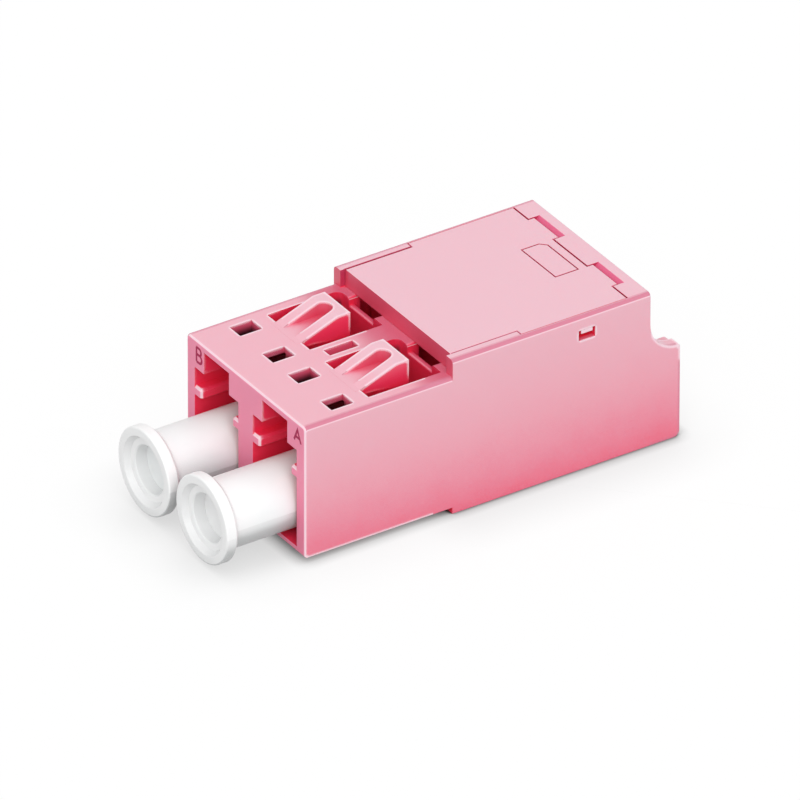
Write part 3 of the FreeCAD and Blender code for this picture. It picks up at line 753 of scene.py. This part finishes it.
def add_strip(mesh, low_x, high_x, profile, look):
    """A thin closed strip over a line of (y, z) points, from low_x to high_x."""
    rings = []
    for y, z in profile:
        under, over = z - look.sunk, z + look.lift
        corners = [(low_x, under), (high_x, under), (high_x, over), (low_x, over)]
        rings.append([mesh.verts.new((x, y, height)) for x, height in corners])
    bridge_rings(mesh, rings)


def tongue_root(look, side, material):
    """The skin over the bending line of one tongue: up the ramp at its sides, level in its recess."""
    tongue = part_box("panel_latch_" + side)
    root = tongue[0].y
    middle = (tongue[0].x + tongue[1].x) / 2
    slope = (tongue[1].z - look.nose_top) / look.ramp_run
    steps = [root + look.reach * (2 * i / look.rows - 1) for i in range(look.rows + 1)]
    level = [(y, look.nose_top) for y in steps]
    ramp = [(y, look.nose_top + slope * max(0.0, y - root)) for y in steps]
    inner = [middle - look.recess / 2, middle + look.recess / 2]
    mesh = bmesh.new()
    add_strip(mesh, tongue[0].x, inner[0], ramp, look)
    add_strip(mesh, inner[0], inner[1], level, look)
    add_strip(mesh, inner[1], tongue[1].x, ramp, look)
    piece = new_piece("tongue_root_" + side, mesh, material)
    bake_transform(piece)


def port_letter(look, letter, material):
    """The letter beside one port, set into the front face of the housing."""
    low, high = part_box("housing")
    first = letter == "a"
    middle = high.x - look.inset_a if first else low.x + look.inset_b
    width = look.width_a if first else look.width_b
    foot = look.foot_a if first else look.foot_b
    height = look.height_a if first else look.height_b
    mesh = bmesh.new()
    for layer, stroke in enumerate(letter_strokes(letter), start=1):
        line = [Vector((middle + (u - 0.5) * width, foot + v * height)) for u, v in stroke]
        add_ribbon(mesh, line, look.stroke / 2, low.y - look.proud * layer, low.y + look.sunk * layer)
    piece = new_piece("port_letter_" + letter, mesh, material)
    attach(piece, "adapter")


class ADAPTER_OT_housing(bpy.types.Operator):
    """Gives the housing and its lid their satin pink skin"""

    bl_idname = "adapter.housing"
    bl_label = "Housing and Lid"

    def execute(self, context):
        finish = pink_finish(context.scene.adapter_pink, "satin_pink_body")
        dress(["housing", "lid"], finish)
        return {"FINISHED"}


class ADAPTER_OT_tongues(bpy.types.Operator):
    """Gives the panel tongues the housing's skin"""

    bl_idname = "adapter.tongues"
    bl_label = "Panel Tongues"

    def execute(self, context):
        finish = pink_finish(context.scene.adapter_pink, "satin_pink_tongue")
        dress(["panel_latch_a", "panel_latch_b"], finish)
        return {"FINISHED"}


class ADAPTER_OT_roots(bpy.types.Operator):
    """Joins each tongue to the nose top with a thin skin over the line where it bends"""

    bl_idname = "adapter.roots"
    bl_label = "Tongue Roots"

    def execute(self, context):
        scene = context.scene
        finish = pink_finish(scene.adapter_pink, "satin_pink_root", solid=False)
        for side in "ab":
            tongue_root(scene.adapter_roots, side, finish)
        return {"FINISHED"}


class ADAPTER_OT_holders(bpy.types.Operator):
    """Gives the sleeve holders their skin"""

    bl_idname = "adapter.holders"
    bl_label = "Sleeve Holders"

    def execute(self, context):
        finish = pink_finish(context.scene.adapter_pink, "satin_pink_holder")
        dress(["sleeve_holder_front", "sleeve_holder_rear"], finish)
        return {"FINISHED"}


class ADAPTER_OT_sleeves(bpy.types.Operator):
    """Gives the split sleeves their polished ceramic"""

    bl_idname = "adapter.sleeves"
    bl_label = "Split Sleeves"

    def execute(self, context):
        finish = ceramic_finish(context.scene.adapter_ceramic, "sleeve_ceramic")
        dress(["split_sleeve_a", "split_sleeve_b"], finish)
        return {"FINISHED"}


class ADAPTER_OT_caps(bpy.types.Operator):
    """Gives the dust caps their soft white plastic"""

    bl_idname = "adapter.caps"
    bl_label = "Dust Caps"

    def execute(self, context):
        finish = white_finish(context.scene.adapter_white, "cap_white")
        dress(["dust_cap_a", "dust_cap_b"], finish)
        return {"FINISHED"}


class ADAPTER_OT_letters(bpy.types.Operator):
    """Sets the port letters into the front face"""

    bl_idname = "adapter.letters"
    bl_label = "Port Letters"

    def execute(self, context):
        scene = context.scene
        finish = letter_finish(scene.adapter_letters, scene.adapter_pink, "letter_rose")
        for letter in "ab":
            port_letter(scene.adapter_letters, letter, finish)
        return {"FINISHED"}


def seen_rays(tree):
    """1 for the camera and for what gloss and glass show, 0 for the light that surfaces scatter."""
    seen = Wire.node(tree, "ShaderNodeLightPath", output="Is Camera Ray")
    glossy = Wire.node(tree, "ShaderNodeLightPath", output="Is Glossy Ray")
    through = Wire.node(tree, "ShaderNodeLightPath", output="Is Transmission Ray")
    return (seen + glossy + through).between(0.0, 1.0)


def floor_shade(tree, reach):
    """How much painted shadow the floor takes: 0 on the open floor, more where the object stands close."""
    return 1 - openness(tree, reach, FLOOR_SAMPLES)


def studio_floor(look):
    """A floor that is seen as white, apart from the object's shadow, which is painted, by how close the object
    stands, into the floor's own light, beside a faint real shadow, and lies darkest along its foot.
    """
    mesh = bmesh.new()
    bmesh.ops.create_grid(mesh, x_segments=1, y_segments=1, size=look.floor / 2)
    data = bpy.data.meshes.new("floor")
    mesh.to_mesh(data)
    mesh.free()
    material, tree, shader = new_finish("floor_white")
    seen = seen_rays(tree)
    x, y = parts_of(tree, "Object")[:2]
    # Where the painted shadow is weaker: beside the nose.
    clear = past(y, *CLEAR_ALONG_RISE) * past(x, *CLEAR_ACROSS_RISE)
    line = floor_shade(tree, look.line_reach).between(0.05, 0.45) * (1 - clear) * look.line
    contact_shadow = floor_shade(tree, look.contact_reach) * (look.contact_shadow - clear * look.contact_clear)
    shadow = floor_shade(tree, look.shadow_reach) * (look.shadow - clear * look.shadow_clear)
    light = 1 - shadow - (contact_shadow + line) * past(y, *FOOT_RISE)
    # The floor's own light, white in the open, darker where the painted shadow lies.
    glow = (seen * light).blend((0.0, 0.0, 0.0), (1.0, 1.0, 1.0))
    feed(tree, shader, {
        "Base Color": seen.blend(look.bounce, look.white),
        "Emission Color": glow,
        "Emission Strength": look.lift,
        "Roughness": 1.0,
        "Specular IOR Level": 0.0,
    })
    data.materials.append(material)
    floor = bpy.data.objects.new("floor", data)
    floor.location.z = CAD_BOX[0].z - FLOOR_GAP * MM
    bpy.context.scene.collection.objects.link(floor)


def studio_sky(look):
    """Light from all round that is itself seen as white."""
    world = bpy.data.worlds.new("studio_sky")
    world.use_nodes = True
    tree = world.node_tree
    tree.nodes.clear()
    level = seen_rays(tree) * (1 - look.sky) + look.sky
    sky = Wire.node(tree, "ShaderNodeBackground", inputs={"Color": (1.0, 1.0, 1.0, 1.0), "Strength": level})
    Wire.node(tree, "ShaderNodeOutputWorld", inputs={"Surface": sky})
    bpy.context.scene.world = world


def studio_lamp(look):
    """One wide, soft lamp."""
    data = bpy.data.lights.new("key_lamp", "SUN")
    data.energy = look.key
    data.angle = look.key_angle
    lamp = bpy.data.objects.new("key_lamp", data)
    lamp.rotation_mode = "QUATERNION"
    lamp.rotation_quaternion = Vector(look.key_from).to_track_quat("Z", "Y")
    bpy.context.scene.collection.objects.link(lamp)


def studio_camera(look):
    """A far camera with a long lens, at the photograph's viewing angle."""
    a, e, r = look.azimuth, look.elevation, look.roll
    back = Vector((math.sin(a) * math.cos(e), -math.cos(a) * math.cos(e), math.sin(e)))
    level = Vector((math.cos(a), math.sin(a), 0.0))
    upright = back.cross(level)
    right = level * math.cos(r) + upright * math.sin(r)
    up = upright * math.cos(r) - level * math.sin(r)
    data = bpy.data.cameras.new("camera")
    data.lens = look.lens
    data.sensor_width = SENSOR_WIDTH
    data.clip_start, data.clip_end = CLIP_START, CLIP_END
    camera = bpy.data.objects.new("camera", data)
    place = right * look.across + up * look.upward + back * look.distance
    camera.matrix_world = Matrix.Translation(place) @ Matrix((right, up, back)).transposed().to_4x4()
    bpy.context.scene.collection.objects.link(camera)
    bpy.context.scene.camera = camera


class ADAPTER_OT_studio(bpy.types.Operator):
    """Sets the floor, the light and the camera"""

    bl_idname = "adapter.studio"
    bl_label = "Studio"

    def execute(self, context):
        look = context.scene.adapter_studio
        studio_floor(look)
        studio_sky(look)
        studio_lamp(look)
        studio_camera(look)
        context.scene.view_settings.view_transform = "Standard"
        return {"FINISHED"}


OPERATORS = (
    ADAPTER_OT_housing,
    ADAPTER_OT_tongues,
    ADAPTER_OT_roots,
    ADAPTER_OT_holders,
    ADAPTER_OT_sleeves,
    ADAPTER_OT_caps,
    ADAPTER_OT_letters,
    ADAPTER_OT_studio,
)
LOOKS = {
    "adapter_pink": PinkPlastic,
    "adapter_white": WhitePlastic,
    "adapter_ceramic": Ceramic,
    "adapter_roots": TongueRoots,
    "adapter_letters": PortLetters,
    "adapter_studio": Studio,
}


class ADAPTER_PT_looks(bpy.types.Panel):
    """Lists the adapter's pieces and their looks"""

    bl_idname = "ADAPTER_PT_looks"
    bl_label = "Duplex Adapter"
    bl_space_type = "VIEW_3D"
    bl_region_type = "UI"
    bl_category = "Adapter"

    def draw(self, context):
        for name, group in LOOKS.items():
            box = self.layout.box()
            box.label(text=group.__name__)
            for prop in group.__annotations__:
                box.prop(getattr(context.scene, name), prop)
        for operator in OPERATORS:
            self.layout.operator(operator.bl_idname)


def register():
    for cls in (*LOOKS.values(), *OPERATORS, ADAPTER_PT_looks):
        bpy.utils.register_class(cls)
    for name, group in LOOKS.items():
        setattr(bpy.types.Scene, name, PointerProperty(type=group))


def unregister():
    for name in LOOKS:
        delattr(bpy.types.Scene, name)
    for cls in (ADAPTER_PT_looks, *reversed(OPERATORS), *reversed(LOOKS.values())):
        bpy.utils.unregister_class(cls)


def main():
    register()
    bpy.ops.adapter.housing()
    bpy.ops.adapter.tongues()
    bpy.ops.adapter.roots()
    bpy.ops.adapter.holders()
    bpy.ops.adapter.sleeves()
    bpy.ops.adapter.caps()
    bpy.ops.adapter.letters()
    bpy.ops.adapter.studio()


if __name__ == "__main__":
    main()
